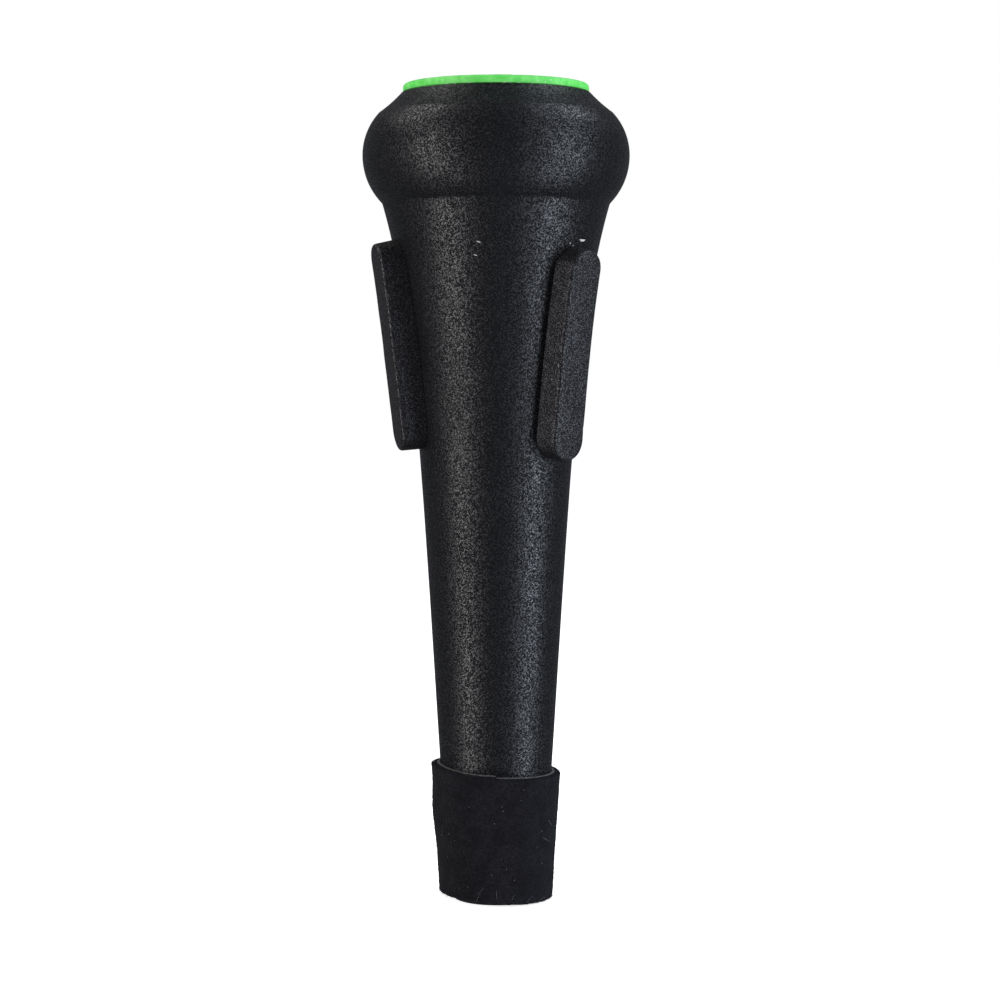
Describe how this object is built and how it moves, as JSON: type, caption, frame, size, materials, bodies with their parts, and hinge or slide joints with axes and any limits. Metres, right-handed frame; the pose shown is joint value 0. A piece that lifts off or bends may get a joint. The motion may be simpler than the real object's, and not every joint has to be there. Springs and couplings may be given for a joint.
{
  "type": "trumpet pixie mute",
  "caption": "Straight pixie mute for a trumpet: hollow horn with a bulb, closed wide end, foam grip strips on the flare and a felt sleeve on the neck.",
  "frame": {"origin": "on the horn's axis at the flat foot of the narrow end, which is the middle of the bounding box's bottom", "axes": "+Z along the horn's axis from the narrow end to the closed wide end; -Y is the side with the sleeve's seam, between two foam strips"},
  "size_m": [0.0456, 0.0456, 0.1401],
  "materials": {
    "grained_black": "fine raised grain with a low satin gloss",
    "cap_green": "matt, very fine grain",
    "foam_black": "closed-cell foam, matt",
    "felt_black": "flocked felt, fuzzy cut edges"
  },
  "bodies": {
    "root": {"body_shell": "grained_black", "end_cap": "cap_green", "foam_pad_right": "foam_black", "foam_pad_back": "foam_black", "foam_pad_left": "foam_black", "neck_sleeve": "felt_black"}
  },
  "joints": []
}
